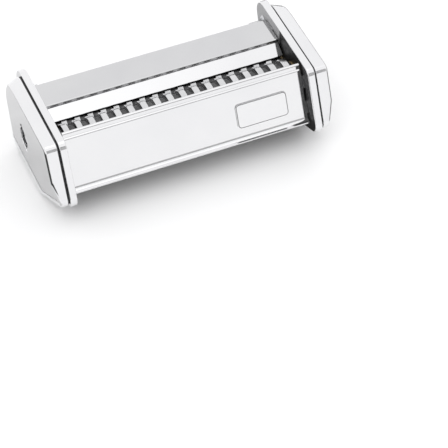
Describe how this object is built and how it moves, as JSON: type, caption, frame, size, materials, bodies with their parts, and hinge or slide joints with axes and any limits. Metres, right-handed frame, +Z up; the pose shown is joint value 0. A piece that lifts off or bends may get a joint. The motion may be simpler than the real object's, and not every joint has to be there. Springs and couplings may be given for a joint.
{
  "type": "pasta cutter unit",
  "caption": "Chromed cutting unit of a hand-cranked pasta machine: two geared disc rollers in a folded steel housing between end caps.",
  "frame": {"origin": "middle of the unit's base box, at the lower edges of the end caps that it stands on", "axes": "+X along the rollers towards the geared end, -Y to the front panel, +Z up with the top plate level"},
  "size_m": [0.1836, 0.0912, 0.054],
  "materials": {
    "polished_chrome": "polished chrome plate",
    "badge_chrome": "polished plate with a fine dark border, blank",
    "cutter_steel": "ground and polished steel",
    "bushing_bronze": "sintered bronze",
    "comb_nylon": "moulded black nylon",
    "zinc_steel": "bright zinc plated steel",
    "gear_steel": "cut steel, lightly oiled"
  },
  "bodies": {
    "housing": {"left_side_frame": "polished_chrome", "right_side_frame": "polished_chrome", "left_cover": "polished_chrome", "right_cover": "polished_chrome", "top_panel": "polished_chrome", "feed_chute": "polished_chrome", "front_panel": "polished_chrome", "badge_plate": "badge_chrome", "left_front_bushing": "bushing_bronze", "left_rear_bushing": "bushing_bronze", "right_front_bushing": "bushing_bronze", "right_rear_bushing": "bushing_bronze", "front_comb": "comb_nylon", "rear_comb": "comb_nylon", "front_tie_rod": "zinc_steel", "rear_tie_rod": "zinc_steel", "top_tie_rod": "zinc_steel", "left_front_rod_nut": "zinc_steel", "left_rear_rod_nut": "zinc_steel", "left_top_rod_nut": "zinc_steel", "right_front_rod_nut": "zinc_steel", "right_rear_rod_nut": "zinc_steel", "right_top_rod_nut": "zinc_steel", "left_upper_cover_screw": "zinc_steel", "left_lower_rear_cover_screw": "zinc_steel", "left_lower_front_cover_screw": "zinc_steel", "right_upper_cover_screw": "zinc_steel", "right_lower_rear_cover_screw": "zinc_steel", "right_lower_front_cover_screw": "zinc_steel", "left_slide_rail": "zinc_steel", "right_slide_rail": "zinc_steel", "left_lower_rail_rivet": "zinc_steel", "left_upper_rail_rivet": "zinc_steel", "right_lower_rail_rivet": "zinc_steel", "right_upper_rail_rivet": "zinc_steel"},
    "rear_cutter": {"rear_roller": "cutter_steel", "rear_gear": "gear_steel", "rear_left_clip": "gear_steel", "rear_right_clip": "gear_steel"},
    "front_cutter": {"front_roller": "cutter_steel", "front_gear": "gear_steel", "front_left_clip": "gear_steel", "front_right_clip": "gear_steel"}
  },
  "joints": [
    {"name": "rear_roller_turn", "type": "hinge", "parent": "housing", "child": "rear_cutter", "pos_m": [0, 0.01016, 0.02676], "axis": [1, 0, 0], "continuous": true},
    {"name": "front_roller_turn", "type": "hinge", "parent": "housing", "child": "front_cutter", "pos_m": [0, -0.01267, 0.03417], "axis": [1, 0, 0], "continuous": true}
  ],
  "couplings": [
    {"joint": "front_roller_turn", "follows": "rear_roller_turn", "ratio": -1}
  ]
}
